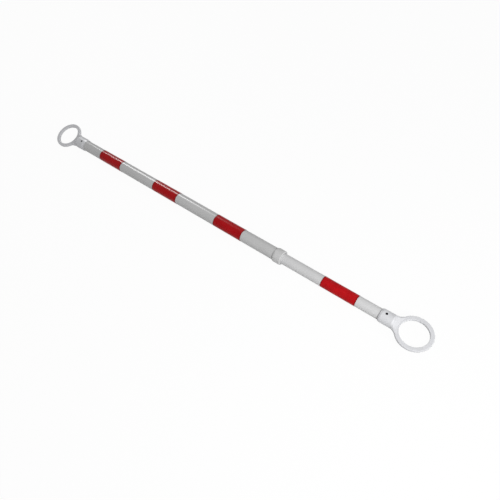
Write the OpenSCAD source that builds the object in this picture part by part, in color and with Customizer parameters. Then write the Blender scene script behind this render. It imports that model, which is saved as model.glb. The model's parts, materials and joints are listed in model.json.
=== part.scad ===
// Telescopic cone bar. A ring head at each end drops over the top of a traffic cone, the inner
// tube slides and turns in the outer tube, and a twist lock inside holds it at any length.
// X runs along the bar from the outer ring to the inner ring and Z is up. The origin is the
// centre of the outer ring's hole, and the inner ring lies flat.

/* [Tubes] */
// Outside diameter of the inner tube
inner_tube_d = 32; // [26:0.5:42]
// Wall of the inner tube
inner_tube_wall = 1.5; // [1:0.1:2.5]
// Length of the inner tube
inner_tube_len = 856; // [700:1:1100]
// Radial gap between the inner tube and the bore of the outer tube
tube_gap = 1.4; // [1.2:0.1:2.4]
// Wall of the outer tube
outer_tube_wall = 1.6; // [1:0.1:2.5]
// Length of the outer tube
outer_tube_len = 913; // [700:1:1100]

/* [Setting] */
// How far the inner head stands off the collar
pull_out = 306; // [0:1:600]
// Turn of the outer ring from the plane of the inner ring, in degrees
head_twist = 17; // [-180:0.1:180]

/* [Ring heads] */
// Hole of each ring, which drops over the cone
ring_hole_d = 76; // [60:0.5:90]
// Width of each ring, from its hole to its outer edge
ring_w = 11; // [9:0.5:20]
// Thickness of each ring
ring_thick = 8; // [7:0.1:12]
// Rounding of the ring's outer edges
ring_edge_round = 3; // [1:0.1:3.4]
// Rounding of the edges of the ring's hole
hole_edge_round = 1.5; // [0.5:0.1:3]
// Flat land between the ring's hole and the foot of the ramp
ramp_land = 1; // [0.5:0.1:4]
// Distance from the outer ring's edge to where its round socket begins
outer_neck_len = 20; // [4:0.1:30]
// Distance from the inner ring's edge to where its round socket begins
inner_neck_len = 9; // [4:0.1:20]
// Fillet in plan between the ring and the socket
neck_fillet = 17; // [6:0.5:24]
// Solid floor of the socket, against which the tube stops
socket_floor = 4; // [2:0.1:8]
// Depth of the outer head's socket
outer_socket_depth = 37; // [30:0.5:80]
// Wall of the outer head's socket
outer_socket_wall = 2.4; // [2:0.1:4]
// Depth of the inner head's socket
inner_socket_depth = 32; // [28:0.5:60]
// Wall of the inner head's socket
inner_socket_wall = 3.1; // [2:0.1:4]
// Length of the taper at the rim of the outer head's socket
outer_taper_len = 11; // [1:0.1:12]
// Length of the taper at the rim of the inner head's socket
inner_taper_len = 5; // [1:0.1:12]
// Wall left at the edge of each socket's rim
rim_edge = 0.9; // [0.4:0.1:1.6]

/* [Collar] */
// Length of the collar
collar_len = 27; // [18:0.5:50]
// Wall of the collar over the outer tube
collar_wall = 2.8; // [2:0.1:5]
// Front lip of the collar, which stops the inner tube pulling out
collar_lip = 4.5; // [2:0.1:8]
// Rounding of the collar's front edge
collar_round = 2; // [0.5:0.1:3]
// Length of the taper at the collar's back edge
collar_taper_len = 4; // [1:0.1:10]
// Wall left at the collar's back edge
collar_edge = 1.2; // [0.4:0.1:1.8]

/* [Red bands] */
// Length of each red band
band_len = 107; // [60:1:140]
// Thickness of the reflective film
band_thick = 0.3; // [0.1:0.05:0.5]
// White length between the outer head and its first band
outer_band_start = 92; // [40:1:140]
// White length between the last outer band and the collar
outer_band_end = 118; // [40:1:160]
// White length between the inner head and its first band
inner_band_start = 66; // [40:1:120]
// White length between the last inner band and the end of the inner tube
inner_band_end = 114; // [40:1:160]

/* [Head screws] */
// Diameter of the screw head
screw_head_d = 6; // [4:0.1:8]
// Height of the screw head
screw_head_h = 2; // [1:0.1:3]
// Diameter of the screw's shank
screw_shank_d = 3.2; // [2:0.1:4]
// Length of the screw under its head
screw_len = 7.5; // [5.5:0.1:10]
// Distance from the socket's rim to the screw
screw_setback = 16; // [8:0.5:24]
// Depth of the flat recess that the screw head sits in
screw_recess = 1; // [0.4:0.1:1.4]

/* [Twist lock] */
// Length of the plug inside the inner tube
spigot_len = 30; // [15:0.5:60]
// Length of the plug that guides the inner tube in the outer tube
guide_len = 44; // [24:0.5:90]
// Width of the split guide ring
guide_ring_w = 6; // [3:0.1:10]
// Radial thickness of the split guide ring
guide_ring_t = 2; // [1:0.1:3]
// Gap across the split of the guide ring
guide_ring_split = 2; // [0.5:0.1:4]
// Diameter of the eccentric journal that turns in the cam
journal_d = 18; // [12:0.1:22]
// Offset of the journal from the axis of the tubes
journal_offset = 1.5; // [0.8:0.1:2]
// Width of the cam along the bar
cam_w = 14; // [8:0.5:24]
// Width of the slit that lets the cam spread
cam_slit = 3; // [1:0.1:5]
// Diameter of the washer that keeps the cam on its journal
washer_d = 25; // [23:0.5:27]
// Thickness of the washer
washer_thick = 2; // [1:0.1:3]
// Length of the cam screw under its head
cam_screw_len = 16; // [10:0.5:20]

/* [Clearances] */
// Radial gap at glued and pushed-in faces
glue_gap = 0.05; // [0.02:0.01:0.1]
// Gap between faces that slide past each other
run_gap = 0.3; // [0.2:0.05:0.4]
// Radial gap where the guide ring and the cam turn on the plug
turn_gap = 0.08; // [0.04:0.01:0.1]
// Gap all round the free cam to the bore of the outer tube
cam_gap = 0.55; // [0.5:0.05:0.8]

/* [Hidden] */
$fn = 96;
// Sides of the circles inside the ramp's loft
loft_sides = 48;
// Overrun of every cut past the face it opens
cut = 1;
// Depth that lofted and joined shapes reach into their neighbours
join = 0.5;
// Inset of the ramp and the neck web below the faces that they run into
ramp_sink = 0.15;
// Inset of the neck web inside the round of the socket
neck_inset = 0.5;
// Wall left round the hollow of the plug
plug_wall = 3;
// Solid end of the plug behind the journal
plug_end = 12;
// Chamfer of the plug's edges
plug_chamfer = 0.8;
// Cross recess of the screw heads, as shares of the head's diameter and height
recess_len_share = 0.6;
recess_w_share = 0.16;
recess_depth_share = 0.55;
// Rounding of a screw head and length of its point, as shares of its height and shank
head_round_share = 0.45;
point_share = 0.8;

band_count = 3;
inner_tube_r = inner_tube_d / 2;
outer_bore_r = inner_tube_r + tube_gap;
outer_tube_r = outer_bore_r + outer_tube_wall;
hole_r = ring_hole_d / 2;
ring_r = hole_r + ring_w;
ramp_foot = hole_r + hole_edge_round + ramp_land;
outer_ramp_top = ring_r + outer_neck_len;
inner_ramp_top = ring_r + inner_neck_len;
outer_tube_stop = outer_ramp_top + socket_floor;
inner_tube_stop = inner_ramp_top + socket_floor;
outer_socket_r = outer_tube_r + glue_gap + outer_socket_wall;
inner_socket_r = inner_tube_r + glue_gap + inner_socket_wall;
outer_rim = outer_tube_stop + outer_socket_depth;
inner_rim = inner_tube_stop + inner_socket_depth;
mouth_x = outer_tube_stop + outer_tube_len;
collar_front_x = mouth_x + glue_gap + collar_lip;
collar_back_x = collar_front_x - collar_len;
collar_r = outer_tube_r + glue_gap + collar_wall;
lip_r = inner_tube_r + glue_gap + band_thick + run_gap;
inner_ring_x = collar_front_x + pull_out + inner_rim;
inner_end_x = inner_ring_x - inner_tube_stop - inner_tube_len;
outer_free = collar_back_x - outer_rim;
outer_white = (outer_free - outer_band_start - outer_band_end - band_count * band_len) / (band_count - 1);
inner_free = inner_tube_len - inner_socket_depth;
inner_white = (inner_free - inner_band_start - inner_band_end - band_count * band_len) / (band_count - 1);
guide_r = outer_bore_r - run_gap;
guide_back_x = inner_end_x - guide_len;
spigot_r = inner_tube_r - inner_tube_wall - glue_gap;
guide_ring_r = outer_bore_r - turn_gap;
groove_r = guide_ring_r - guide_ring_t - turn_gap;
groove_w = guide_ring_w + 2 * turn_gap;
groove_x = inner_end_x - guide_len / 2;
journal_r = journal_d / 2;
journal_len = cam_w + 2 * run_gap;
journal_end_x = guide_back_x - journal_len;
cam_r = outer_bore_r - cam_gap;
shank_r = screw_shank_d / 2;
pilot_r = shank_r + glue_gap;

// Turns a shape built up along Z to run along the bar, from a station on X
module along_bar(x) {
    translate([x, 0, 0]) rotate([0, 90, 0]) children();
}

// Plain pipe along the bar
module pipe(x, length, outside_r, inside_r) {
    along_bar(x) difference() {
        cylinder(h = length, r = outside_r);
        translate([0, 0, -cut]) cylinder(h = length + 2 * cut, r = inside_r);
    }
}

// Disc with rounded edges, the ring before its hole is cut
module round_edged_disc(radius, thick, round) {
    rotate_extrude() {
        translate([0, -thick / 2]) square([radius - round, thick]);
        translate([0, round - thick / 2]) square([radius, thick - 2 * round]);
        for (side = [-1, 1])
            translate([radius - round, side * (thick / 2 - round)]) circle(r = round);
    }
}

// Cutter for a round hole or a concave fillet that leaves its edges rounded
module flared_cutter(radius, thick, round, reach) {
    rotate_extrude() difference() {
        translate([0, -reach]) square([radius + round, 2 * reach]);
        translate([radius, round - thick / 2]) square([round + cut, thick - 2 * round]);
        for (side = [-1, 1])
            translate([radius + round, side * (thick / 2 - round)]) circle(r = round);
    }
}

// Flat web between the ring and the socket, with a fillet each side tangent to both
module neck_web(half_w, ramp_top) {
    fillet_y = half_w + neck_fillet;
    fillet_x = sqrt(pow(ring_r - join + neck_fillet, 2) - pow(fillet_y, 2));
    web_end = min(fillet_x, ramp_top + socket_floor - join);
    web_thick = ring_thick - 2 * ramp_sink;
    spread = fillet_y / fillet_x;
    difference() {
        translate([0, 0, -web_thick / 2]) linear_extrude(web_thick)
            polygon([
                [ramp_foot, -ramp_foot * spread], [web_end, -web_end * spread],
                [web_end, web_end * spread], [ramp_foot, ramp_foot * spread]
            ]);
        for (side = [-1, 1])
            translate([fillet_x, side * fillet_y, 0])
                flared_cutter(neck_fillet, web_thick, ring_edge_round, ring_thick);
    }
}

// Loft from the round socket down to the flat of the ring, on both faces
module ramp(socket_r, ramp_top) {
    foot_half = ring_thick / 2 - ramp_sink;
    foot_half_w = socket_r - neck_inset;
    hull() {
        along_bar(ramp_top) cylinder(h = join, r = socket_r - ramp_sink, $fn = loft_sides);
        translate([ramp_foot, -foot_half_w, -foot_half]) cube([join, 2 * foot_half_w, 2 * foot_half]);
    }
}

// Round socket that takes the tube's end, with the seat for its screw
module socket(socket_r, tube_r, ramp_top, rim, taper_len) {
    screw_x = rim - screw_setback;
    length = rim - ramp_top;
    depth = length - socket_floor;
    difference() {
        along_bar(ramp_top) rotate_extrude()
            polygon([
                [0, 0], [socket_r, 0], [socket_r, length - taper_len],
                [tube_r + glue_gap + rim_edge, length], [0, length]
            ]);
        along_bar(rim - depth) cylinder(h = depth + cut, r = tube_r + glue_gap);
        translate([screw_x, 0, 0]) cylinder(h = socket_r + cut, r = pilot_r);
        translate([screw_x, 0, socket_r - screw_recess])
            cylinder(h = screw_recess + cut, r = screw_head_d / 2 + run_gap);
    }
}

// Moulded head: ring, neck, ramp and socket. The ring's centre is at the origin and the tube
// leaves along X.
module ring_head(socket_r, tube_r, ramp_top, rim, taper_len) {
    difference() {
        round_edged_disc(ring_r, ring_thick, ring_edge_round);
        flared_cutter(hole_r, ring_thick, hole_edge_round, ring_thick);
    }
    neck_web(socket_r - neck_inset, ramp_top);
    ramp(socket_r, ramp_top);
    socket(socket_r, tube_r, ramp_top, rim, taper_len);
}

// Pan head screw that points down, with the underside of its head at the origin
module pan_screw(length) {
    head_r = screw_head_d / 2;
    head_round = screw_head_h * head_round_share;
    point = screw_shank_d * point_share;
    recess = [screw_head_d * recess_len_share, screw_head_d * recess_w_share];
    recess_depth = screw_head_h * recess_depth_share;
    difference() {
        union() {
            rotate_extrude() {
                square([head_r - head_round, screw_head_h]);
                square([head_r, screw_head_h - head_round]);
                translate([head_r - head_round, screw_head_h - head_round]) circle(r = head_round);
            }
            translate([0, 0, point - length]) cylinder(h = length - point + screw_head_h / 2, r = shank_r);
            translate([0, 0, -length]) cylinder(h = point, r1 = shank_r / 2, r2 = shank_r);
        }
        for (turn = [0, 90])
            rotate([0, 0, turn]) translate([-recess[0] / 2, -recess[1] / 2, screw_head_h - recess_depth])
                cube([recess[0], recess[1], recess_depth + cut]);
    }
}

// Puts a shape made for a head at the outer end of the bar
module at_outer_end() {
    rotate([head_twist, 0, 0]) children();
}

// Puts a shape made for a head at the inner end of the bar, facing back
module at_inner_end() {
    translate([inner_ring_x, 0, 0]) rotate([0, 0, 180]) children();
}

// Pilot hole for a head screw, in a tube wall
module pilot_hole(rim, reach) {
    translate([rim - screw_setback, 0, 0]) cylinder(h = reach + cut, r = pilot_r);
}

module outer_ring_head() {
    color("white") at_outer_end()
        ring_head(outer_socket_r, outer_tube_r, outer_ramp_top, outer_rim, outer_taper_len);
}

module inner_ring_head() {
    color("white") at_inner_end()
        ring_head(inner_socket_r, inner_tube_r, inner_ramp_top, inner_rim, inner_taper_len);
}

module outer_head_screw() {
    color("black") at_outer_end()
        translate([outer_rim - screw_setback, 0, outer_socket_r - screw_recess]) pan_screw(screw_len);
}

module inner_head_screw() {
    color("black") at_inner_end()
        translate([inner_rim - screw_setback, 0, inner_socket_r - screw_recess]) pan_screw(screw_len);
}

module outer_tube() {
    color("whitesmoke") difference() {
        pipe(outer_tube_stop, outer_tube_len, outer_tube_r, outer_bore_r);
        at_outer_end() pilot_hole(outer_rim, outer_tube_r);
    }
}

module inner_tube() {
    color("whitesmoke") difference() {
        pipe(inner_end_x, inner_tube_len, inner_tube_r, inner_tube_r - inner_tube_wall);
        at_inner_end() pilot_hole(inner_rim, inner_tube_r);
    }
}

// Sleeve of reflective film round a tube
module red_band(x, tube_r) {
    color("firebrick") pipe(x, band_len, tube_r + glue_gap + band_thick, tube_r + glue_gap);
}

// Bands of the outer tube, counted from the outer head
module outer_red_band(number) {
    red_band(outer_rim + outer_band_start + (number - 1) * (band_len + outer_white), outer_tube_r);
}

// Bands of the inner tube, counted from the inner head
module inner_red_band(number) {
    step = (number - 1) * (band_len + inner_white);
    red_band(inner_ring_x - inner_rim - inner_band_start - band_len - step, inner_tube_r);
}

// Cap on the mouth of the outer tube
module collar() {
    color("white") along_bar(collar_back_x) rotate_extrude() difference() {
        union() {
            polygon([
                [0, 0], [outer_tube_r + glue_gap + collar_edge, 0], [collar_r, collar_taper_len],
                [collar_r, collar_len - collar_round], [0, collar_len - collar_round]
            ]);
            square([collar_r - collar_round, collar_len]);
            translate([collar_r - collar_round, collar_len - collar_round]) circle(r = collar_round);
        }
        translate([0, -cut]) square([outer_tube_r + glue_gap, collar_len - collar_lip + cut]);
        square([lip_r, collar_len + cut]);
    }
}

// Plug in the end of the inner tube, with the guide and the eccentric journal of the lock
module lock_plug() {
    hollow_len = spigot_len + guide_len - plug_end;
    color("dimgray") difference() {
        union() {
            along_bar(guide_back_x) rotate_extrude() polygon([
                [0, 0], [guide_r - plug_chamfer, 0], [guide_r, plug_chamfer], [guide_r, guide_len],
                [spigot_r, guide_len], [spigot_r, guide_len + spigot_len - plug_chamfer],
                [spigot_r - plug_chamfer, guide_len + spigot_len], [0, guide_len + spigot_len]
            ]);
            translate([0, 0, journal_offset]) along_bar(journal_end_x)
                cylinder(h = journal_len + join, r = journal_r);
        }
        along_bar(guide_back_x + plug_end) cylinder(h = hollow_len + cut, r = spigot_r - plug_wall);
        pipe(groove_x - groove_w / 2, groove_w, guide_r + cut, groove_r);
        translate([0, 0, journal_offset]) along_bar(journal_end_x - cut)
            cylinder(h = cam_screw_len + cut, r = pilot_r);
    }
}

// Split ring that rides in the plug's groove and rubs on the bore of the outer tube
module guide_ring() {
    color("gainsboro") difference() {
        pipe(groove_x - guide_ring_w / 2, guide_ring_w, guide_ring_r, guide_ring_r - guide_ring_t);
        translate([groove_x - guide_ring_w, -guide_ring_split / 2, 0])
            cube([2 * guide_ring_w, guide_ring_split, guide_ring_r + cut]);
    }
}

// Slit cam that the journal wedges against the bore of the outer tube when the bar is twisted
module lock_cam() {
    color("gainsboro") difference() {
        along_bar(journal_end_x + run_gap) cylinder(h = cam_w, r = cam_r);
        translate([0, 0, journal_offset]) along_bar(journal_end_x)
            cylinder(h = journal_len, r = journal_r + turn_gap);
        translate([journal_end_x, -cam_slit / 2, 0]) cube([journal_len, cam_slit, cam_r + cut]);
    }
}

module cam_washer() {
    color("silver") translate([0, 0, journal_offset])
        pipe(journal_end_x - washer_thick, washer_thick, washer_d / 2, pilot_r);
}

module cam_screw() {
    color("silver") translate([journal_end_x - washer_thick, 0, journal_offset])
        rotate([0, -90, 0]) pan_screw(cam_screw_len);
}

outer_ring_head();
outer_head_screw();
outer_tube();
for (number = [1:band_count])
    outer_red_band(number);
collar();
inner_ring_head();
inner_head_screw();
inner_tube();
for (number = [1:band_count])
    inner_red_band(number);
lock_plug();
guide_ring();
lock_cam();
cam_washer();
cam_screw();
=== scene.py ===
"""Dresses a packed telescopic cone bar: tubes, red film, collar, ring heads, screws and a plain stage."""

import json
import math
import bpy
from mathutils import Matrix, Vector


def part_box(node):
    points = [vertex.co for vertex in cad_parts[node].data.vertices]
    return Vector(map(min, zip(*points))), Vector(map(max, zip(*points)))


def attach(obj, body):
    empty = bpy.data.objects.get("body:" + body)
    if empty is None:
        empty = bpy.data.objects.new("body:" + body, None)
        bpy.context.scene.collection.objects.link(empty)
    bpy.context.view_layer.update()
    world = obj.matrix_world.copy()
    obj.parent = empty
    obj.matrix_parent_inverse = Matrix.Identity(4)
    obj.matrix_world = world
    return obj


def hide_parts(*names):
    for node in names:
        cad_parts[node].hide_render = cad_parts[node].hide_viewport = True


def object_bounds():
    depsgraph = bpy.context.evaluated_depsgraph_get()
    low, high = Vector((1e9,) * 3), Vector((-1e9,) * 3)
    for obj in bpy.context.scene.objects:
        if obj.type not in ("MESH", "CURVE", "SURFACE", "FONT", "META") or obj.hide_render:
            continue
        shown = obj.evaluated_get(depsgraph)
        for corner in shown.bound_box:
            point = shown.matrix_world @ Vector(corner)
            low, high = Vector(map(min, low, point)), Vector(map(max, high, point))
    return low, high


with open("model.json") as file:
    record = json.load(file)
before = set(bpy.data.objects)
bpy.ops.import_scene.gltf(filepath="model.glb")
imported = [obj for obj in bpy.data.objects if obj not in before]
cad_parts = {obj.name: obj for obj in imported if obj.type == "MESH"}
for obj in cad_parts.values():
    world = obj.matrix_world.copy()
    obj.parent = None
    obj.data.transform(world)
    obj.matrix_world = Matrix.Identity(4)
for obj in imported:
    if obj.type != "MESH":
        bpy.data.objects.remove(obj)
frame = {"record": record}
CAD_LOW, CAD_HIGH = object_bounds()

from types import SimpleNamespace

import bmesh
import bpy
from bpy.props import FloatProperty, FloatVectorProperty, IntProperty, PointerProperty
from mathutils import Matrix, Vector

bl_info = {
    "name": "Cone Bar Dresser",
    "version": (1, 0, 0),
    "blender": (4, 5, 0),
    "location": "3D View > Sidebar > Cone Bar",
    "description": "Models and finishes the pieces of a telescopic cone bar over its CAD frame",
    "category": "Object",
}

MOUNTS = {mount["name"]: mount for mount in frame["record"]["mounts"]}
MM_PER_M = 1000
FULL_TURN = 2 * math.pi
CLOSE = 1e-5
ORIGIN = (0, 0, 0)
BAR_AXIS = (1, 0, 0)
UP = (0, 0, 1)
WHITE = (1, 1, 1, 1)
FILM_INSET = "inset"

# Faces round a ring's cage, and how many of them the neck takes on each side of its middle
RING_STEPS = 72
NECK_STEPS = 7

# Shares of the way from ring to socket at which the neck's cage has a loop
NECK_SHARES = (0.1, 0.4, 0.7)
HEAD_SUBDIVISIONS = 2

# Faces round a screw and its seat
SCREW_STEPS = 48

# Angles in degrees past which an edge is shaded as sharp
PLAIN_SHARP = 35.0
HEAD_SHARP = 32.0
SCREW_SHARP = 30.0

# Strength of the rub marks on each tube, and of the dirt and painted shade in the seam at each piece that a
# tube enters
OUTER_RUBS = 0.12
INNER_RUBS = 0.2
OUTER_HEAD_SOIL_AND_SHADE = 0.2
COLLAR_SOIL_AND_SHADE = 0.7
INNER_HEAD_SOIL_AND_SHADE = 0.8


def colour_property(name, description, default):
    """A colour that a user can change, kept in linear light."""
    return FloatVectorProperty(
        name=name, description=description, default=default, subtype="COLOR", min=0.0, max=1.0
    )


def length_property(name, description, default):
    """A length in metres that a user can change."""
    return FloatProperty(
        name=name, description=description, default=default, min=0.0, unit="LENGTH", precision=5
    )


def place_property(name, description, default):
    """A place in metres that a user can change."""
    return FloatVectorProperty(
        name=name, description=description, default=default, subtype="XYZ", unit="LENGTH"
    )


def power_property(name, description, default):
    """The power of a lamp, in watts, that a user can change."""
    return FloatProperty(name=name, description=description, default=default, min=0.0, unit="POWER")


class ConeBarSizes(bpy.types.PropertyGroup):
    """Sizes of the visible pieces that the frame doesn't give."""

    ring_thickness: length_property("Ring thickness", "Thickness of each ring", 0.008)
    ring_edge: length_property("Ring edge", "Rounding of the ring's outer edges", 0.003)
    hole_edge: length_property("Hole edge", "Rounding of the edges of the ring's hole", 0.0015)
    ramp_land: length_property("Ramp land", "Flat land between a ring's hole and its ramp", 0.005)
    socket_floor: length_property("Socket floor", "Solid floor of a socket behind its tube", 0.004)
    socket_wall: length_property("Socket wall", "Wall of the outer head's socket", 0.0024)
    outer_taper: length_property("Outer taper", "Length of the taper at the outer head's rim", 0.011)
    inner_taper: length_property("Inner taper", "Length of the taper at the inner head's rim", 0.005)
    rim_edge: length_property("Rim edge", "Wall left at the edge of a socket's rim", 0.0009)
    support: length_property("Support", "Distance of the support loops from a moulded edge", 0.0006)
    collar_round: length_property("Collar round", "Rounding of the collar's front edge", 0.002)
    collar_taper: length_property("Collar taper", "Length of the taper at the collar's back", 0.004)
    collar_edge: length_property("Collar edge", "Wall left at the collar's back edge", 0.0012)
    collar_lip: length_property("Collar lip", "Thickness of the collar's front wall", 0.0045)
    lip_clearance: length_property("Lip clearance", "Gap between the collar and the inner tube", 0.00065)
    outer_wall: length_property("Outer wall", "Wall of the outer tube", 0.0016)
    inner_wall: length_property("Inner wall", "Wall of the inner tube", 0.0015)
    glue_gap: length_property("Glue gap", "Gap at glued faces", 0.00005)
    film_thickness: length_property("Film thickness", "Thickness of the red film", 0.0003)
    film_seam: length_property("Film seam", "Gap where the ends of a film meet", 0.0008)
    screw_head: length_property("Screw head", "Diameter of a screw head", 0.006)
    screw_height: length_property("Screw height", "Height of a screw head", 0.002)
    screw_shank: length_property("Screw shank", "Diameter of a screw's shank", 0.0032)
    screw_length: length_property("Screw length", "Length of a screw under its head", 0.0075)
    screw_recess: length_property("Screw recess", "Depth of the seat of a screw head", 0.001)
    screw_setback: length_property("Screw setback", "Distance from a socket's rim to its screw", 0.016)
    round_steps: IntProperty(
        name="Round steps", description="Faces round a tube", default=96, min=24, max=256
    )


class ConeBarColours(bpy.types.PropertyGroup):
    """Colours of the finishes, in linear light."""

    moulding: colour_property("Moulding", "White of the moulded heads", (0.79, 0.795, 0.82))
    collar: colour_property("Collar", "White of the moulded collar", (0.70, 0.70, 0.70))
    # The inner tube has a lighter white than the outer tube: in part a lighter plastic, in part painted
    # light for the stronger light at the near end
    outer_tube: colour_property("Outer tube", "Greyed white of the outer tube", (0.66, 0.66, 0.66))
    inner_tube: colour_property("Inner tube", "White of the inner tube", (0.76, 0.76, 0.765))
    # One red film on both tubes: the inner tube's copy has a lighter red than the outer's, painted light
    # for the stronger light at the near end
    outer_film_shaded_red: colour_property("Outer film", "Red of the film on the outer tube", (0.55, 0.006, 0.010))
    inner_film_lit_red: colour_property("Inner film", "Red of the film on the inner tube", (0.64, 0.007, 0.011))
    screw: colour_property("Screw", "Black of the head screws", (0.006, 0.006, 0.0065))
    plug: colour_property("Plug", "Grey of the lock plug", (0.06, 0.06, 0.065))
    cam: colour_property("Cam", "Natural nylon of the cam and guide ring", (0.62, 0.60, 0.54))
    zinc: colour_property("Zinc", "Zinc plating of the cam screw and washer", (0.55, 0.56, 0.57))
    grime: colour_property("Grime", "Grey of rubbed and soiled places", (0.30, 0.30, 0.29))
    # Seam colour: dirt and painted shade, darkening the tubes where they enter the heads and the collar
    seam: colour_property("Seam", "Dark dirt in the seams round the tubes", (0.06, 0.058, 0.055))
    floor: colour_property("Floor", "Grey of the floor under the lamps", (0.5, 0.5, 0.5))


class ConeBarStage(bpy.types.PropertyGroup):
    """Camera, lamps and floor."""

    eye: place_property("Eye", "Place of the camera", (1.4456, -0.6061, 1.0516))
    aim: place_property("Aim", "Point that the camera looks at", (0.894, -0.0309, 0.0))
    roll: FloatProperty(
        name="Roll",
        description="Turn of the camera about its line of sight",
        default=math.radians(-6.956),
        subtype="ANGLE",
    )
    lens: FloatProperty(
        name="Lens", description="Focal length in millimetres", default=32.605, min=1.0, unit="CAMERA"
    )
    floor_size: length_property("Floor size", "Side of the square floor", 60.0)
    floor_glow: FloatProperty(
        name="Floor glow",
        description="Share of plain white in the floor as the camera sees it",
        default=0.95,
        min=0.0,
        max=1.0,
        subtype="FACTOR",
    )
    ambient: FloatProperty(
        name="Ambient", description="Strength of the light from all round", default=0.35, min=0.0
    )
    key_place: place_property("Key place", "Place of the large soft lamp", (5.9, -1.15, 2.3))
    key_size: length_property("Key size", "Side of the large soft lamp", 2.5)
    key_power: power_property("Key power", "Power of the large soft lamp", 100.0)
    near_place: place_property("Near place", "Place of the small soft lamp", (1.73, -0.42, 0.91))
    near_size: length_property("Near size", "Side of the small soft lamp", 0.6)
    near_power: power_property("Near power", "Power of the small soft lamp", 5.2)
    strip_place: place_property("Strip place", "Place of the lamp behind the bar", (-0.49, 0.68, 0.93))
    strip_length: length_property("Strip length", "Length of the lamp behind the bar", 0.88)
    strip_width: length_property("Strip width", "Width of the lamp behind the bar", 0.1)
    strip_power: power_property("Strip power", "Power of the lamp behind the bar", 48.0)


def scene_props():
    """The three property groups of the scene."""
    scene = bpy.context.scene
    return scene.cone_bar_sizes, scene.cone_bar_colours, scene.cone_bar_stage


class Nodes:
    """A node tree in the making, with short ways to add its nodes."""

    def __init__(self, tree):
        self.tree = tree

    def feed(self, socket, value):
        """Links a socket to another one, or sets its value."""
        if isinstance(value, bpy.types.NodeSocket):
            self.tree.links.new(value, socket)
        else:
            socket.default_value = value

    def add(self, kind, inputs=None, **settings):
        """A node with some of its inputs, by name or number, and some of its settings filled in."""
        node = self.tree.nodes.new(kind)
        for name, value in settings.items():
            setattr(node, name, value)
        for name, value in (inputs or {}).items():
            self.feed(node.inputs[name], value)
        return node

    def maths(self, operation, first, second=0.0):
        """One operation on one or two values."""
        return self.add("ShaderNodeMath", {0: first, 1: second}, operation=operation).outputs["Value"]

    def between(self, value, source, target):
        """A value carried from one range to another, and held at its ends."""
        inputs = {"Value": value}
        inputs["From Min"], inputs["From Max"] = source
        inputs["To Min"], inputs["To Max"] = target
        return self.add("ShaderNodeMapRange", inputs).outputs["Result"]

    def blend(self, share, first, second):
        """A colour between two colours."""
        return self.add("ShaderNodeMix", {0: share, 6: first, 7: second}, data_type="RGBA").outputs[2]

    def part(self, vector, axis):
        """One coordinate of a vector."""
        return self.add("ShaderNodeSeparateXYZ", {"Vector": vector}).outputs[axis]

    def seen_directly(self):
        """1 for rays from the camera, a mirror or a glass, and 0 for the rest."""
        path = self.add("ShaderNodeLightPath").outputs
        mirror = self.maths("MAXIMUM", path["Is Camera Ray"], path["Is Glossy Ray"])
        return self.maths("MAXIMUM", mirror, path["Is Transmission Ray"])


class Finish(Nodes):
    """A material in the making, with patterns on the object's own coordinates."""

    def __init__(self, name):
        self.material = bpy.data.materials.new(name)
        self.material.use_nodes = True
        super().__init__(self.material.node_tree)
        self.shader = self.tree.nodes["Principled BSDF"]
        self.place = self.add("ShaderNodeTexCoord").outputs["Object"]

    def stretched(self, scale, rotation=(0, 0, 0)):
        """The object's coordinates, turned and scaled."""
        inputs = {"Vector": self.place, "Rotation": rotation, "Scale": scale}
        return self.add("ShaderNodeMapping", inputs).outputs["Vector"]

    def noise(self, place, scale=1.0, detail=3.0, roughness=0.6):
        """Soft noise from 0 to 1."""
        inputs = {"Vector": place, "Scale": scale, "Detail": detail, "Roughness": roughness}
        return self.add("ShaderNodeTexNoise", inputs).outputs["Fac"]

    def cells(self, scale):
        """Distance to the middle of the nearest cell."""
        return self.add("ShaderNodeTexVoronoi", {"Vector": self.place, "Scale": scale}).outputs["Distance"]

    def bump(self, height, distance, strength, under=None):
        """Relief from a height, over another relief where one is given."""
        inputs = {"Height": height, "Distance": distance, "Strength": strength}
        if under:
            inputs["Normal"] = under
        return self.add("ShaderNodeBump", inputs).outputs["Normal"]

    def shade(self, **inputs):
        """Fills the shader's sockets, with _ for the space in a name."""
        for name, value in inputs.items():
            self.feed(self.shader.inputs[name.replace("_", " ")], value)
        return self.material


def opaque(colour, share=1.0, lift=0.0):
    """A colour with full alpha, as sockets take it, with each part scaled and lifted."""
    return (*(share * part + lift for part in colour), 1.0)


def moulding_finish(name, colour, grime, twist):
    """Satin white moulding with a faint grain, a parting line and a little soiling."""
    finish = Finish(name)
    cloud = finish.noise(finish.place, scale=34.0, detail=4.0)
    grain = finish.noise(finish.place, scale=1400.0, detail=2.0, roughness=0.5)
    scuff = finish.noise(finish.stretched((90, 420, 260), rotation=(0.4, 0.7, 0.2)))
    cloud_soil = finish.between(cloud, (0.48, 0.78), (0.0, 0.16))
    scuff_soil = finish.between(scuff, (0.64, 0.8), (0.0, 0.2))
    soil = finish.maths("ADD", cloud_soil, scuff_soil)
    height = finish.part(finish.stretched((1, 1, 1), rotation=(-twist, 0, 0)), "Z")
    parting = finish.between(finish.maths("ABSOLUTE", height), (0.00006, 0.0002), (1.0, 0.0))
    relief = finish.bump(grain, distance=0.00003, strength=0.35)
    return finish.shade(
        Base_Color=finish.blend(soil, opaque(colour), opaque(grime)),
        Roughness=finish.between(finish.maths("ADD", cloud, scuff), (0.7, 1.3), (0.34, 0.48)),
        Normal=finish.bump(parting, distance=0.00006, strength=0.8, under=relief),
        Specular_IOR_Level=0.2,
    )


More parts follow.
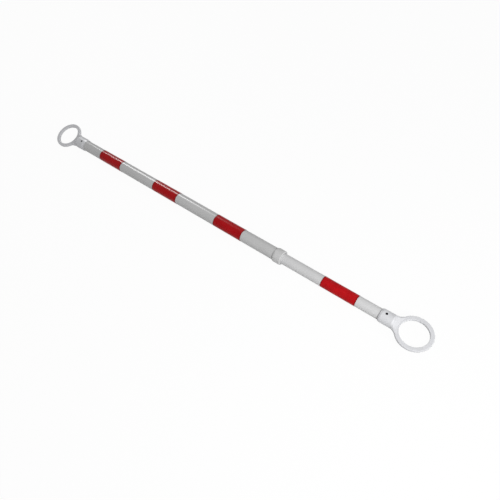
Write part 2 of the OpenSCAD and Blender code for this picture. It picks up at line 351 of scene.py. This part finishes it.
def tube_finish(name, white, colours, rubbed, shaded_seams):
    """Satin extruded tube with die lines, grey rub marks, and dirt with painted shade in the seams at some
    stations.
    """
    finish = Finish(name)
    die_lines = finish.noise(finish.stretched((2.5, 900, 900)))
    rubs = finish.noise(finish.stretched((7, 210, 210)), detail=4.0, roughness=0.65)
    cloud = finish.noise(finish.place, scale=16.0, detail=4.0)
    rub_marks = finish.between(rubs, (0.56, 0.78), (0.0, rubbed))
    soiling = finish.between(cloud, (0.45, 0.75), (0.0, 0.1))
    marks = finish.maths("ADD", rub_marks, soiling)
    colour = finish.blend(marks, opaque(white), opaque(colours.grime))
    along = finish.part(finish.place, "X")
    spread = finish.between(cloud, (0.3, 0.7), (0.0014, 0.0026))
    # Dirt and painted shade: the tube darkens towards each seam where it enters a head or the collar
    for station, soil in shaded_seams:
        away = finish.maths("ABSOLUTE", finish.maths("SUBTRACT", along, station))
        dirt = finish.between(finish.maths("DIVIDE", away, spread), (0.4, 1.0), (soil, 0.0))
        colour = finish.blend(dirt, colour, opaque(colours.seam))
    return finish.shade(
        Base_Color=colour,
        Roughness=finish.between(rubs, (0.35, 0.7), (0.27, 0.38)),
        Normal=finish.bump(die_lines, distance=0.00004, strength=0.25),
        Specular_IOR_Level=0.13,
    )


def film_finish(name, red):
    """Red reflective film with glass beads, uneven red, fine scratches, and dirt along its ends."""
    finish = Finish(name)
    beads = finish.cells(scale=2200.0)
    cloud = finish.noise(finish.place, scale=45.0, detail=4.0, roughness=0.65)
    scratches = finish.noise(finish.stretched((40, 700, 700), rotation=(0.0, 0.05, 0.08)))
    clouding = finish.between(cloud, (0.3, 0.7), (0.75, 0.0))
    beading = finish.between(beads, (0.2, 0.7), (0.0, 0.35))
    shade = finish.maths("ADD", clouding, beading)
    uneven = finish.blend(shade, opaque(red), opaque(red, share=0.72))
    scuffs = finish.between(scratches, (0.58, 0.78), (0.0, 0.45))
    face = finish.blend(scuffs, uneven, opaque(red, share=0.85, lift=0.04))
    inset = finish.add("ShaderNodeAttribute", attribute_name=FILM_INSET).outputs["Fac"]
    dirt_start = finish.between(cloud, (0.3, 0.7), (0.0005, 0.0015))
    dirt = finish.between(inset, (dirt_start, 0.004), (0.65, 0.0))
    ridges = finish.between(scratches, (0.6, 0.8), (0.0, 0.6))
    return finish.shade(
        Base_Color=finish.blend(dirt, face, opaque(red, share=0.2)),
        Roughness=finish.between(scratches, (0.4, 0.75), (0.24, 0.32)),
        Normal=finish.bump(finish.maths("ADD", beads, ridges), distance=0.00002, strength=0.05),
        Specular_IOR_Level=0.085,
    )


def screw_finish(colours):
    """Black oxide over steel, finely pitted and worn a little in places."""
    finish = Finish("black_oxide")
    pits = finish.noise(finish.place, scale=2600.0)
    patches = finish.noise(finish.place, scale=700.0, detail=4.0, roughness=0.65)
    wear = finish.between(patches, (0.55, 0.75), (0.0, 0.5))
    return finish.shade(
        Base_Color=finish.blend(wear, opaque(colours.screw), opaque(colours.screw, share=6.0)),
        Metallic=0.4,
        Roughness=finish.between(pits, (0.3, 0.7), (0.42, 0.6)),
        Normal=finish.bump(pits, distance=0.00002, strength=0.4),
        Specular_IOR_Level=0.2,
    )


def nylon_finish(name, colour, grime):
    """Moulded nylon, matt and faintly mottled, with a fine grain."""
    finish = Finish(name)
    mottle = finish.noise(finish.place, scale=120.0, detail=4.0)
    grain = finish.noise(finish.place, scale=1800.0, detail=2.0, roughness=0.5)
    soil = finish.between(mottle, (0.4, 0.75), (0.0, 0.35))
    return finish.shade(
        Base_Color=finish.blend(soil, opaque(colour), opaque(grime)),
        Roughness=finish.between(mottle, (0.3, 0.7), (0.42, 0.6)),
        Normal=finish.bump(grain, distance=0.00003, strength=0.4),
    )


def zinc_finish(colours):
    """Zinc plate with spangle and fine turning marks."""
    finish = Finish("zinc_plate")
    spangle = finish.between(finish.cells(scale=500.0), (0.2, 0.8), (0.0, 0.5))
    turning = finish.noise(finish.stretched((6000, 300, 300)), detail=2.0, roughness=0.5)
    return finish.shade(
        Base_Color=finish.blend(spangle, opaque(colours.zinc), opaque(colours.grime)),
        Metallic=1.0,
        Roughness=finish.between(turning, (0.3, 0.7), (0.28, 0.44)),
        Normal=finish.bump(turning, distance=0.00001, strength=0.4),
    )


def spun_line(places, axis, steps, turn=FULL_TURN, closed=True):
    """Turns a line of places, closed or open, about an axis through the origin."""
    bm = bmesh.new()
    verts = [bm.verts.new(place) for place in places]
    ahead = verts[1:] + verts[:1] if closed else verts[1:]
    edges = [bm.edges.new(pair) for pair in zip(verts, ahead)]
    whole = turn >= FULL_TURN
    bmesh.ops.spin(
        bm, geom=verts + edges, cent=ORIGIN, axis=axis, angle=turn, steps=steps, use_merge=whole
    )
    return bm


def spin_profile(points, steps, turn=FULL_TURN):
    """Turns a closed profile of (station, radius) points about the bar's axis, from its underside."""
    bm = spun_line([(station, 0, -radius) for station, radius in points], BAR_AXIS, steps, turn)
    if turn < FULL_TURN:
        bmesh.ops.holes_fill(bm, edges=[edge for edge in bm.edges if edge.is_boundary], sides=len(points))
    bmesh.ops.recalc_face_normals(bm, faces=bm.faces)
    return bm


def rim(bm, station, radius):
    """Edges of the circle round the bar at a station and a radius."""
    def on_it(vert):
        return abs(vert.co.x - station) < CLOSE and abs(vert.co.yz.length - radius) < CLOSE

    return [edge for edge in bm.edges if on_it(edge.verts[0]) and on_it(edge.verts[1])]


def round_edges(bm, edges, radius, segments):
    """Rounds edges with a circular bevel."""
    if not edges:
        raise RuntimeError("no edges to round")
    bmesh.ops.bevel(
        bm, geom=edges, offset=radius, offset_type="OFFSET", segments=segments, profile=0.5,
        affect="EDGES", material=-1, clamp_overlap=True,
    )


def link_mesh(bm, name):
    """An object at the origin that holds a finished bmesh."""
    mesh = bpy.data.meshes.new(name)
    bm.to_mesh(mesh)
    bm.free()
    made = bpy.data.objects.new(name, mesh)
    bpy.context.scene.collection.objects.link(made)
    return made


def cut_from(piece, cutters):
    """Applies a piece's modifiers and takes the cutters out of it."""
    for cutter in cutters:
        cut = piece.modifiers.new("cut", "BOOLEAN")
        cut.operation = "DIFFERENCE"
        cut.solver = "EXACT"
        cut.object = cutter
    graph = bpy.context.evaluated_depsgraph_get()
    shape = bpy.data.meshes.new_from_object(piece.evaluated_get(graph))
    if not shape.polygons:
        raise RuntimeError("nothing is left of %s" % piece.name)
    rough = piece.data
    piece.modifiers.clear()
    piece.data = shape
    bpy.data.meshes.remove(rough)
    for cutter in cutters:
        bpy.data.meshes.remove(cutter.data)


def finish_piece(piece, material, body, node, sharp=PLAIN_SHARP):
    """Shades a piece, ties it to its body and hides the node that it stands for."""
    piece.data.shade_smooth()
    piece.data.set_sharp_from_angle(angle=math.radians(sharp))
    piece.data.materials.clear()
    piece.data.materials.append(material)
    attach(piece, body)
    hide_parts(node)


def round_extent(node):
    """Where a round node along the bar starts and ends, and its radius."""
    low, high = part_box(node)
    return low.x, high.x, (high.y - low.y) / 2


def tube_mesh(start, end, radius, wall, steps):
    """A tube with rounded ends, and loops near them that keep its shading straight."""
    bore = radius - wall
    ease = 2 * wall
    bm = spin_profile(
        [
            (start, bore), (start + ease, bore), (end - ease, bore), (end, bore),
            (end, radius), (end - ease, radius), (start + ease, radius), (start, radius),
        ],
        steps,
    )
    ends = [edge for at in (start, end) for reach in (bore, radius) for edge in rim(bm, at, reach)]
    round_edges(bm, ends, radius=0.2 * wall, segments=2)
    return bm


class ConeBarTubesOperator(bpy.types.Operator):
    """Makes the outer tube and the inner tube"""

    bl_idname = "cone_bar.tubes"
    bl_label = "Tubes"

    def execute(self, context):
        sizes, colours, _ = scene_props()
        # Stations where the tubes darken with dirt and painted shade, at the mouths of the heads and the
        # collar
        outer_shaded_seams = (
            (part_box("outer_ring_head")[1].x, OUTER_HEAD_SOIL_AND_SHADE),
            (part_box("collar")[0].x, COLLAR_SOIL_AND_SHADE),
        )
        inner_shaded_seams = ((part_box("inner_ring_head")[0].x, INNER_HEAD_SOIL_AND_SHADE),)
        for side, wall, white, rubbed, shaded_seams in (
            ("outer", sizes.outer_wall, colours.outer_tube, OUTER_RUBS, outer_shaded_seams),
            ("inner", sizes.inner_wall, colours.inner_tube, INNER_RUBS, inner_shaded_seams),
        ):
            node = side + "_tube"
            bm = tube_mesh(*round_extent(node), wall, sizes.round_steps)
            piece = link_mesh(bm, "white_" + node)
            material = tube_finish("white_" + node, white, colours, rubbed, shaded_seams)
            finish_piece(piece, material, side, node)
        return {"FINISHED"}


def film_mesh(start, end, radius, sizes):
    """A film round a tube, with a slit under the bar, that keeps how far each point is from its ends."""
    under = radius - sizes.film_thickness
    gap = sizes.film_seam / radius
    middle = (start + end) / 2
    ease = 3 * sizes.film_thickness
    bm = spin_profile(
        [
            (start, under), (middle, under), (end, under), (end, radius),
            (end - ease, radius), (middle, radius), (start + ease, radius), (start, radius),
        ],
        sizes.round_steps,
        FULL_TURN - gap,
    )
    bmesh.ops.rotate(bm, verts=bm.verts, cent=ORIGIN, matrix=Matrix.Rotation(gap / 2, 3, "X"))
    ends = rim(bm, start, radius) + rim(bm, end, radius)
    round_edges(bm, ends, radius=0.5 * sizes.film_thickness, segments=2)
    inset = bm.verts.layers.float.new(FILM_INSET)
    for vert in bm.verts:
        vert[inset] = min(vert.co.x - start, end - vert.co.x)
    return bm


class ConeBarFilmsOperator(bpy.types.Operator):
    """Makes the six red films, each with its ends meeting under the bar"""

    bl_idname = "cone_bar.films"
    bl_label = "Red films"

    def execute(self, context):
        sizes, colours, _ = scene_props()
        # The lighter red of the inner tube's films is painted light for the brighter near end
        for side, red in (("outer", colours.outer_film_shaded_red), ("inner", colours.inner_film_lit_red)):
            material = film_finish("red_%s_film" % side, red)
            for number in (1, 2, 3):
                node = "%s_red_band_%d" % (side, number)
                bm = film_mesh(*round_extent(node), sizes)
                piece = link_mesh(bm, "red_film_%s_%d" % (side, number))
                finish_piece(piece, material, side, node)
        return {"FINISHED"}


class ConeBarCollarOperator(bpy.types.Operator):
    """Makes the collar on the mouth of the outer tube"""

    bl_idname = "cone_bar.collar"
    bl_label = "Collar"

    def execute(self, context):
        sizes, colours, _ = scene_props()
        start, end, radius = round_extent("collar")
        bore = round_extent("outer_tube")[2] + sizes.glue_gap
        lip = round_extent("inner_tube")[2] + sizes.lip_clearance
        shoulder = end - sizes.collar_lip
        back = bore + sizes.collar_edge
        body = start + sizes.collar_taper
        bm = spin_profile(
            [
                (start, bore), (start, back), (body, radius), (body + sizes.collar_taper, radius),
                (end - 2 * sizes.collar_round, radius), (end, radius),
                (end, lip), (shoulder, lip), (shoulder, bore),
            ],
            sizes.round_steps,
        )
        round_edges(bm, rim(bm, end, radius), sizes.collar_round, segments=6)
        round_edges(bm, rim(bm, body, radius), 0.4 * sizes.collar_taper, segments=4)
        edges = rim(bm, start, back) + rim(bm, end, lip)
        round_edges(bm, edges, 0.3 * sizes.collar_edge, segments=3)
        piece = link_mesh(bm, "front_collar")
        material = moulding_finish("white_collar", colours.collar, colours.grime, twist=0.0)
        finish_piece(piece, material, "outer", "collar")
        return {"FINISHED"}


def both_heads(sizes):
    """The two ring heads: where a head made at the origin goes, and its sizes from the frame."""
    mount = MOUNTS["inner_ring_bore"]
    ring_x = mount["pos_m"][0]
    _, across, up = MOUNTS["outer_ring_bore"]["axis"]
    twist = math.atan2(-across, up)
    low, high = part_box("inner_ring_head")
    ring = {"hole": mount["dims"]["r_mm"] / MM_PER_M, "reach": high.x - ring_x}
    outer_start, _, outer_radius = round_extent("outer_tube")
    _, inner_end, inner_radius = round_extent("inner_tube")
    outer = SimpleNamespace(
        side="outer",
        place=Matrix.Rotation(twist, 4, "X"),
        twist=twist,
        rim_x=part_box("outer_ring_head")[1].x,
        tube_stop=outer_start,
        bore=outer_radius + sizes.glue_gap,
        socket=outer_radius + sizes.glue_gap + sizes.socket_wall,
        taper=sizes.outer_taper,
        **ring,
    )
    inner = SimpleNamespace(
        side="inner",
        place=Matrix.Translation((ring_x, 0, 0)) @ Matrix.Rotation(math.pi, 4, "Z"),
        twist=0.0,
        rim_x=ring_x - low.x,
        tube_stop=ring_x - inner_end,
        bore=inner_radius + sizes.glue_gap,
        socket=(high.z - low.z) / 2,
        taper=sizes.inner_taper,
        **ring,
    )
    return outer, inner


def cage_swell(count):
    """How much wider a cage of some steps is than the circle that subdivision makes of it."""
    return 3 / (2 + math.cos(FULL_TURN / count))


def ring_cage(sizes, head):
    """Cage of a flat ring for subdivision, open where the neck leaves it along X, and the open loop."""
    half = sizes.ring_thickness / 2
    wall = 0.45 * half
    hole = head.hole
    land = hole + 1.4 * sizes.hole_edge
    foot = hole + sizes.ramp_land
    reach = head.reach
    shoulder = reach - sizes.ring_edge
    flank = half - sizes.ring_edge
    section = [
        (hole, -wall), (hole, wall), (hole, half), (land, half), (foot, half), (shoulder, half),
        (reach, half), (reach, flank), (reach, -flank), (reach, -half),
        (shoulder, -half), (foot, -half), (land, -half), (hole, -half),
    ]
    swell = cage_swell(RING_STEPS)
    bm = spun_line([(swell * radius, 0, height) for radius, height in section], UP, RING_STEPS)
    bmesh.ops.remove_doubles(bm, verts=bm.verts, dist=CLOSE)
    bmesh.ops.recalc_face_normals(bm, faces=bm.faces)
    opening = FULL_TURN * NECK_STEPS / RING_STEPS

    def in_neck(face):
        middle = face.calc_center_median()
        return middle.xy.length > swell * foot + CLOSE and abs(math.atan2(middle.y, middle.x)) < opening

    def towards_top(vert):
        return vert.co.x + vert.co.z - abs(vert.co.y)

    bmesh.ops.delete(bm, geom=[face for face in bm.faces if in_neck(face)], context="FACES")
    start = max((vert for vert in bm.verts if vert.is_boundary), key=towards_top)
    return bm, open_loop(start)


def open_loop(start):
    """Vertices round an open edge, from the start towards +Y."""
    def beside(vert):
        return [edge.other_vert(vert) for edge in vert.link_edges if edge.is_boundary]

    loop = [start]
    ahead = max(beside(start), key=lambda vert: vert.co.y)
    while ahead is not start:
        loop.append(ahead)
        ahead = next(vert for vert in beside(ahead) if vert is not loop[-2])
    return loop


def extend_loop(bm, loop, places):
    """Extrudes a closed loop of vertices to new places, one for each vertex."""
    edges = [bm.edges.get(pair) for pair in zip(loop, loop[1:] + loop[:1])]
    grown = bmesh.ops.extrude_edge_only(bm, edges=edges)["geom"]
    fresh = {item for item in grown if isinstance(item, bmesh.types.BMVert)}
    tips = []
    for vert, place in zip(loop, places):
        tip = next(v for v in (edge.other_vert(vert) for edge in vert.link_edges) if v in fresh)
        tip.co = place
        tips.append(tip)
    return tips


def round_places(count, station, radius):
    """Even places on a circle round the bar, from the top towards +Y, wide enough for subdivision."""
    reach = radius * cage_swell(count)
    turns = [FULL_TURN * step / count for step in range(count)]
    return [Vector((station, reach * math.sin(turn), reach * math.cos(turn))) for turn in turns]


def neck_place(foot, top, share, hollow):
    """A place between the ring and the socket: a straight ramp with hollow sides."""
    place = foot.lerp(top, share)
    place.y = foot.y + (top.y - foot.y) * (1 - (1 - share) ** hollow)
    return place


def head_cage(sizes, head):
    """Cage of a whole ring head, with its ring at the origin and its tube along X."""
    bm, loop = ring_cage(sizes, head)
    socket, bore, rim_x, stop = head.socket, head.bore, head.rim_x, head.tube_stop
    ramp_top = stop - sizes.socket_floor
    shoulder = rim_x - head.taper
    edge = bore + sizes.rim_edge
    near = sizes.support
    count = len(loop)
    feet = [vert.co.copy() for vert in loop]
    tops = round_places(count, ramp_top, socket)
    side_foot, side_top = max(zip(feet, tops), key=lambda pair: pair[0].y)
    hollow = (side_top.x - side_foot.x) / (side_foot.y - side_top.y)
    crest = 1 - near / (ramp_top - head.hole)
    for share in (*NECK_SHARES, crest, 1.0):
        places = [neck_place(foot, top, share, hollow) for foot, top in zip(feet, tops)]
        loop = extend_loop(bm, loop, places)
    slope = (edge - socket) / head.taper
    ease = 2 * near
    tip = 0.5 * near
    run_out = 6 * near
    corner = 0.25 * sizes.rim_edge
    floor = 0.9 * bore
    for station, radius in (
        (ramp_top + near, socket), (ramp_top + run_out, socket),
        (shoulder - ease, socket), (shoulder, socket), (shoulder + ease, socket + ease * slope),
        (rim_x - tip, edge - tip * slope), (rim_x, edge - corner),
        (rim_x, bore + corner), (rim_x, bore), (rim_x - near, bore),
        (stop + near, bore), (stop, bore), (stop, floor),
    ):
        loop = extend_loop(bm, loop, round_places(count, station, radius))
    bmesh.ops.contextual_create(bm, geom=loop)
    bmesh.ops.recalc_face_normals(bm, faces=bm.faces)
    return bm


def seat_mesh(sizes, head):
    """What is cut from a head made at the origin for its screw to sit in."""
    radius = 0.55 * sizes.screw_head
    depth = 4 * sizes.screw_recess
    place = (head.rim_x - sizes.screw_setback, 0, head.socket + sizes.screw_recess)
    bm = bmesh.new()
    bmesh.ops.create_cone(
        bm, cap_ends=True, segments=SCREW_STEPS, radius1=radius, radius2=radius, depth=depth
    )
    bmesh.ops.translate(bm, verts=bm.verts, vec=place)
    return bm


class ConeBarHeadsOperator(bpy.types.Operator):
    """Makes the two moulded ring heads, with the seats of their screws"""

    bl_idname = "cone_bar.heads"
    bl_label = "Ring heads"

    def execute(self, context):
        sizes, colours, _ = scene_props()
        for head in both_heads(sizes):
            side = head.side
            piece = link_mesh(head_cage(sizes, head), side + "_head_moulding")
            smooth = piece.modifiers.new("smooth", "SUBSURF")
            smooth.levels = HEAD_SUBDIVISIONS
            smooth.render_levels = HEAD_SUBDIVISIONS
            cut_from(piece, [link_mesh(seat_mesh(sizes, head), "seat_cutter")])
            piece.data.transform(head.place)
            material = moulding_finish("white_%s_head" % side, colours.moulding, colours.grime, head.twist)
            finish_piece(piece, material, side, side + "_ring_head", HEAD_SHARP)
        return {"FINISHED"}


def screw_mesh(sizes):
    """Pan head screw that points down, with the underside of its head at the origin."""
    head = sizes.screw_head / 2
    shank = sizes.screw_shank / 2
    top = sizes.screw_height
    length = sizes.screw_length
    crown = 0.5 * head
    brow_height = 0.85 * top
    tip = 0.5 * shank
    outline = [
        (0, top), (crown, top), (head, brow_height), (head, 0),
        (shank, 0), (shank, shank - length), (tip, -length), (0, -length),
    ]
    bm = spun_line([(reach, 0, height) for reach, height in outline], UP, SCREW_STEPS, closed=False)
    bmesh.ops.remove_doubles(bm, verts=bm.verts, dist=CLOSE)
    bmesh.ops.dissolve_verts(bm, verts=[vert for vert in bm.verts if vert.co.xy.length < CLOSE])
    bmesh.ops.recalc_face_normals(bm, faces=bm.faces)

    def on_brow(vert):
        return abs(vert.co.xy.length - head) < CLOSE and vert.co.z > 0.5 * top

    brow = [edge for edge in bm.edges if on_brow(edge.verts[0]) and on_brow(edge.verts[1])]
    round_edges(bm, brow, radius=0.4 * top, segments=5)
    return bm


def recess_mesh(sizes, turn):
    """One bar of the cross recess in a screw head, tapered towards its floor and turned about the screw."""
    bm = bmesh.new()
    bmesh.ops.create_cube(bm, size=1.0)
    length = 0.6 * sizes.screw_head
    width = 0.15 * sizes.screw_head
    bmesh.ops.scale(bm, verts=bm.verts, vec=(length, width, sizes.screw_height))
    floor = [vert for vert in bm.verts if vert.co.z < 0]
    floor_shares = (0.6, 0.7, 1)
    bmesh.ops.scale(bm, verts=floor, vec=floor_shares)
    bmesh.ops.translate(bm, verts=bm.verts, vec=(0, 0, sizes.screw_height))
    bmesh.ops.rotate(bm, verts=bm.verts, cent=ORIGIN, matrix=Matrix.Rotation(turn, 3, "Z"))
    return bm


class ConeBarScrewsOperator(bpy.types.Operator):
    """Makes the two black screws of the heads"""

    bl_idname = "cone_bar.screws"
    bl_label = "Head screws"

    def execute(self, context):
        sizes, colours, _ = scene_props()
        material = screw_finish(colours)
        for head in both_heads(sizes):
            side = head.side
            piece = link_mesh(screw_mesh(sizes), "black_%s_screw" % side)
            turns = (0.0, FULL_TURN / 4)
            cut_from(piece, [link_mesh(recess_mesh(sizes, turn), "recess_cutter") for turn in turns])
            seat = (head.rim_x - sizes.screw_setback, 0, head.socket - sizes.screw_recess)
            piece.data.transform(head.place @ Matrix.Translation(seat))
            finish_piece(piece, material, side, side + "_head_screw", SCREW_SHARP)
        return {"FINISHED"}


class ConeBarLockOperator(bpy.types.Operator):
    """Finishes the pieces of the twist lock inside the tubes"""

    bl_idname = "cone_bar.lock"
    bl_label = "Twist lock"

    def execute(self, context):
        _, colours, _ = scene_props()
        plug = nylon_finish("plug_nylon", colours.plug, colours.grime)
        cam = nylon_finish("cam_nylon", colours.cam, colours.grime)
        zinc = zinc_finish(colours)
        for node, material in (
            ("lock_plug", plug),
            ("guide_ring", cam),
            ("lock_cam", cam),
            ("cam_washer", zinc),
            ("cam_screw", zinc),
        ):
            slots = bpy.data.objects[node].material_slots
            if not slots:
                raise RuntimeError("%s has no material slot" % node)
            for slot in slots:
                slot.material = material
        return {"FINISHED"}


def floor_finish(colours, stage):
    """White floor that keeps a faint shadow."""
    finish = Finish("studio_floor")
    tone = finish.noise(finish.place, scale=0.8, detail=2.0, roughness=0.5)
    direct = finish.seen_directly()
    lit = finish.blend(tone, opaque(colours.floor), opaque(colours.floor, share=0.98))
    finish.shade(Base_Color=finish.blend(direct, lit, WHITE), Roughness=0.9)
    glow = finish.add("ShaderNodeEmission", {"Color": WHITE, "Strength": 1.0})
    share = finish.maths("MULTIPLY", direct, stage.floor_glow)
    surfaces = {0: share, 1: finish.shader.outputs["BSDF"], 2: glow.outputs["Emission"]}
    mix = finish.add("ShaderNodeMixShader", surfaces)
    out = finish.tree.nodes["Material Output"]
    finish.feed(out.inputs["Surface"], mix.outputs["Shader"])
    return finish.material


def aimed(place, aim):
    """Place and turn of a lamp or a camera that looks from one point at another."""
    turn = (Vector(aim) - Vector(place)).to_track_quat("-Z", "Y")
    return Matrix.Translation(place) @ turn.to_matrix().to_4x4()


def add_floor(colours, stage):
    """The floor that the bar lies on."""
    bm = bmesh.new()
    bmesh.ops.create_grid(bm, x_segments=1, y_segments=1, size=stage.floor_size / 2)
    bmesh.ops.translate(bm, verts=bm.verts, vec=(0, 0, CAD_LOW.z))
    floor = link_mesh(bm, "floor")
    floor.data.materials.append(floor_finish(colours, stage))


def add_camera(stage):
    """The camera at the photograph's place."""
    scene = bpy.context.scene
    camera = bpy.data.cameras.new("photo_camera")
    camera.lens = stage.lens
    eye = bpy.data.objects.new("photo_camera", camera)
    eye.matrix_world = aimed(stage.eye, stage.aim) @ Matrix.Rotation(stage.roll, 4, "Z")
    scene.collection.objects.link(eye)
    scene.camera = eye


def add_lamp(name, place, aim, width, height, power, streak=False):
    """A soft rectangular lamp that points at a place. A streak lamp is seen only in glossy surfaces."""
    lamp = bpy.data.lights.new(name, "AREA")
    lamp.shape = "RECTANGLE"
    lamp.size = width
    lamp.size_y = height
    lamp.energy = power
    made = bpy.data.objects.new(name, lamp)
    made.matrix_world = aimed(place, aim)
    made.visible_camera = False
    made.visible_diffuse = not streak
    bpy.context.scene.collection.objects.link(made)


def add_lamps(stage):
    """Two soft lamps for the near end, and a strip for the streak along the far half."""
    near = MOUNTS["inner_ring_bore"]["pos_m"]
    middle = (CAD_LOW + CAD_HIGH) / 2
    below = (stage.strip_place[0], middle.y, middle.z)
    add_lamp("key_softbox", stage.key_place, near, stage.key_size, stage.key_size, stage.key_power)
    add_lamp("near_softbox", stage.near_place, near, stage.near_size, stage.near_size, stage.near_power)
    add_lamp(
        "back_strip", stage.strip_place, below, stage.strip_length, stage.strip_width, stage.strip_power,
        streak=True,
    )


def add_world(stage):
    """A white world that looks like the floor and lights the bar with the ambient strength."""
    world = bpy.data.worlds.new("studio")
    world.use_nodes = True
    nodes = Nodes(world.node_tree)
    shown = stage.floor_glow + (1 - stage.floor_glow) * stage.ambient
    level = nodes.between(nodes.seen_directly(), (0.0, 1.0), (stage.ambient, shown))
    sky = world.node_tree.nodes["Background"]
    nodes.feed(sky.inputs["Color"], WHITE)
    nodes.feed(sky.inputs["Strength"], level)
    bpy.context.scene.world = world


class ConeBarStageOperator(bpy.types.Operator):
    """Makes the floor, the camera, the lamps and the world"""

    bl_idname = "cone_bar.stage"
    bl_label = "Stage"

    def execute(self, context):
        _, colours, stage = scene_props()
        add_floor(colours, stage)
        add_camera(stage)
        add_lamps(stage)
        add_world(stage)
        context.scene.view_settings.view_transform = "Standard"
        return {"FINISHED"}


class ConeBarPanel(bpy.types.Panel):
    """Lists the operators, the sizes, the colours and the stage of the cone bar"""

    bl_idname = "VIEW3D_PT_cone_bar"
    bl_label = "Cone Bar"
    bl_space_type = "VIEW_3D"
    bl_region_type = "UI"
    bl_category = "Cone Bar"

    def draw(self, context):
        layout = self.layout
        for operator in OPERATORS:
            layout.operator(operator.bl_idname)
        for group in scene_props():
            box = layout.box()
            for name in group.__annotations__:
                box.prop(group, name)


OPERATORS = (
    ConeBarTubesOperator,
    ConeBarFilmsOperator,
    ConeBarCollarOperator,
    ConeBarHeadsOperator,
    ConeBarScrewsOperator,
    ConeBarLockOperator,
    ConeBarStageOperator,
)
CLASSES = (ConeBarSizes, ConeBarColours, ConeBarStage, *OPERATORS, ConeBarPanel)


def register():
    for cls in CLASSES:
        bpy.utils.register_class(cls)
    bpy.types.Scene.cone_bar_sizes = PointerProperty(type=ConeBarSizes)
    bpy.types.Scene.cone_bar_colours = PointerProperty(type=ConeBarColours)
    bpy.types.Scene.cone_bar_stage = PointerProperty(type=ConeBarStage)


def unregister():
    del bpy.types.Scene.cone_bar_stage
    del bpy.types.Scene.cone_bar_colours
    del bpy.types.Scene.cone_bar_sizes
    for cls in reversed(CLASSES):
        bpy.utils.unregister_class(cls)


def main():
    register()
    bpy.ops.cone_bar.tubes()
    bpy.ops.cone_bar.films()
    bpy.ops.cone_bar.collar()
    bpy.ops.cone_bar.heads()
    bpy.ops.cone_bar.screws()
    bpy.ops.cone_bar.lock()
    bpy.ops.cone_bar.stage()


if __name__ == "__main__":
    main()
